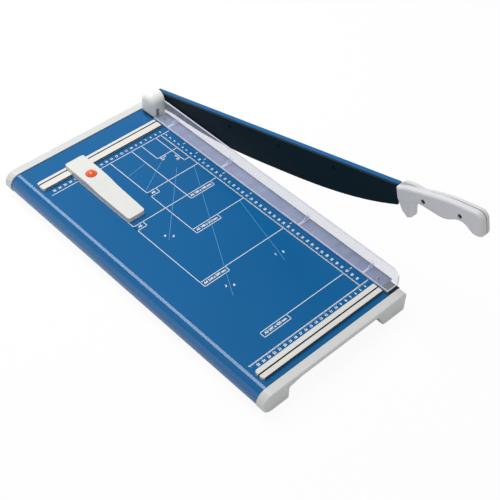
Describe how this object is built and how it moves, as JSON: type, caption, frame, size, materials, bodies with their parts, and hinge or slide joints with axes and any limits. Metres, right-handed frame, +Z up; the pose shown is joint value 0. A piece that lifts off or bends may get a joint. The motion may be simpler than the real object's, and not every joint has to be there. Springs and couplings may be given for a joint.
{
  "type": "guillotine paper cutter",
  "caption": "Desk guillotine for paper: flat ruled table, curved blade on a hinged lever at the right, clear guard along the cut, sliding back gauge and end caps with feet.",
  "frame": {"origin": "on the desk, under the middle of the whole cutter's box with the lever raised as pictured", "axes": "+X to the blade side, +Y to the back stop and the pivot, +Z up"},
  "size_m": [0.3066, 0.6694, 0.2461],
  "materials": {
    "blue_enamel": "satin blue enamel",
    "dark_blade_steel": "dark satin coating",
    "bright_steel": "ground steel",
    "light_grey_plastic": "matte moulded",
    "off_white_plastic": "matte moulded",
    "clear_plastic": "clear, slightly grey",
    "orange_plastic": "gloss",
    "black_rubber": "matte",
    "black_plastic": "satin",
    "bronze": "plain bearing bronze",
    "plated_steel": "zinc plated"
  },
  "bodies": {
    "base": {"table_plate": "blue_enamel", "front_end_cap": "light_grey_plastic", "rear_end_cap": "light_grey_plastic", "front_cross_member": "plated_steel", "rear_cross_member": "plated_steel", "front_cap_screw_1": "plated_steel", "front_cap_screw_2": "plated_steel", "rear_cap_screw_1": "plated_steel", "rear_cap_screw_2": "plated_steel", "table_stiffener": "plated_steel", "rubber_foot_front_left": "black_rubber", "rubber_foot_front_right": "black_rubber", "rubber_foot_rear_left": "black_rubber", "rubber_foot_rear_right": "black_rubber", "front_rail": "off_white_plastic", "rear_rail": "off_white_plastic", "front_rail_screw_1": "plated_steel", "front_rail_screw_2": "plated_steel", "rear_rail_screw_1": "plated_steel", "rear_rail_screw_2": "plated_steel", "bed_knife": "bright_steel", "knife_beam": "plated_steel", "bed_knife_screw_1": "plated_steel", "bed_knife_screw_2": "plated_steel", "bed_knife_screw_3": "plated_steel", "front_guide_block": "black_plastic", "pivot_bracket": "plated_steel", "bracket_screw_1": "plated_steel", "bracket_screw_2": "plated_steel", "pivot_bushing": "bronze", "thrust_washer": "bronze", "pivot_housing": "off_white_plastic", "housing_screw_1": "plated_steel", "guard_spring_1": "bright_steel", "guard_spring_2": "bright_steel"},
    "lever": {"upper_blade": "dark_blade_steel", "lever_bar": "blue_enamel", "blade_rivet_1": "dark_blade_steel", "blade_rivet_2": "dark_blade_steel", "blade_rivet_3": "dark_blade_steel", "handle_left": "light_grey_plastic", "handle_right": "light_grey_plastic", "handle_screw_1": "black_plastic", "handle_screw_2": "black_plastic", "pivot_bolt": "plated_steel", "pivot_locknut": "plated_steel", "pivot_washer": "plated_steel", "pivot_disc_spring": "bright_steel", "clamp_cam": "plated_steel"},
    "guard": {"blade_guard": "clear_plastic", "guard_post_1": "bright_steel", "guard_post_2": "bright_steel", "guard_post_clip_1": "plated_steel", "guard_post_clip_2": "plated_steel"},
    "gauge": {"back_gauge_arm": "light_grey_plastic", "gauge_guide": "bright_steel", "gauge_button_spring": "bright_steel"},
    "button": {"gauge_button": "orange_plastic"}
  },
  "joints": [
    {"name": "blade_hinge", "type": "hinge", "parent": "base", "child": "lever", "pos_m": [0.1337, 0.29962, 0.0518], "axis": [-1, 0, 0], "range_deg": [-16.8, 40]},
    {"name": "guard_lift", "type": "slide", "parent": "base", "child": "guard", "axis": [0, 0, 1], "range_m": [-0.0018, 0.0043], "deforming": ["guard_spring_1", "guard_spring_2"]},
    {"name": "gauge_slide", "type": "slide", "parent": "base", "child": "gauge", "axis": [1, 0, 0], "range_m": [-0.05, 0.14]},
    {"name": "button_press", "type": "slide", "parent": "gauge", "child": "button", "axis": [0, 0, 1], "range_m": [-0.0015, 0], "stiffness_N_per_m": 800, "springref_m": 0.001, "deforming": ["gauge_button_spring"]}
  ],
  "couplings": [
    {"joint": "guard_lift", "follows": "blade_hinge", "m_per_rad": 0.006}
  ]
}
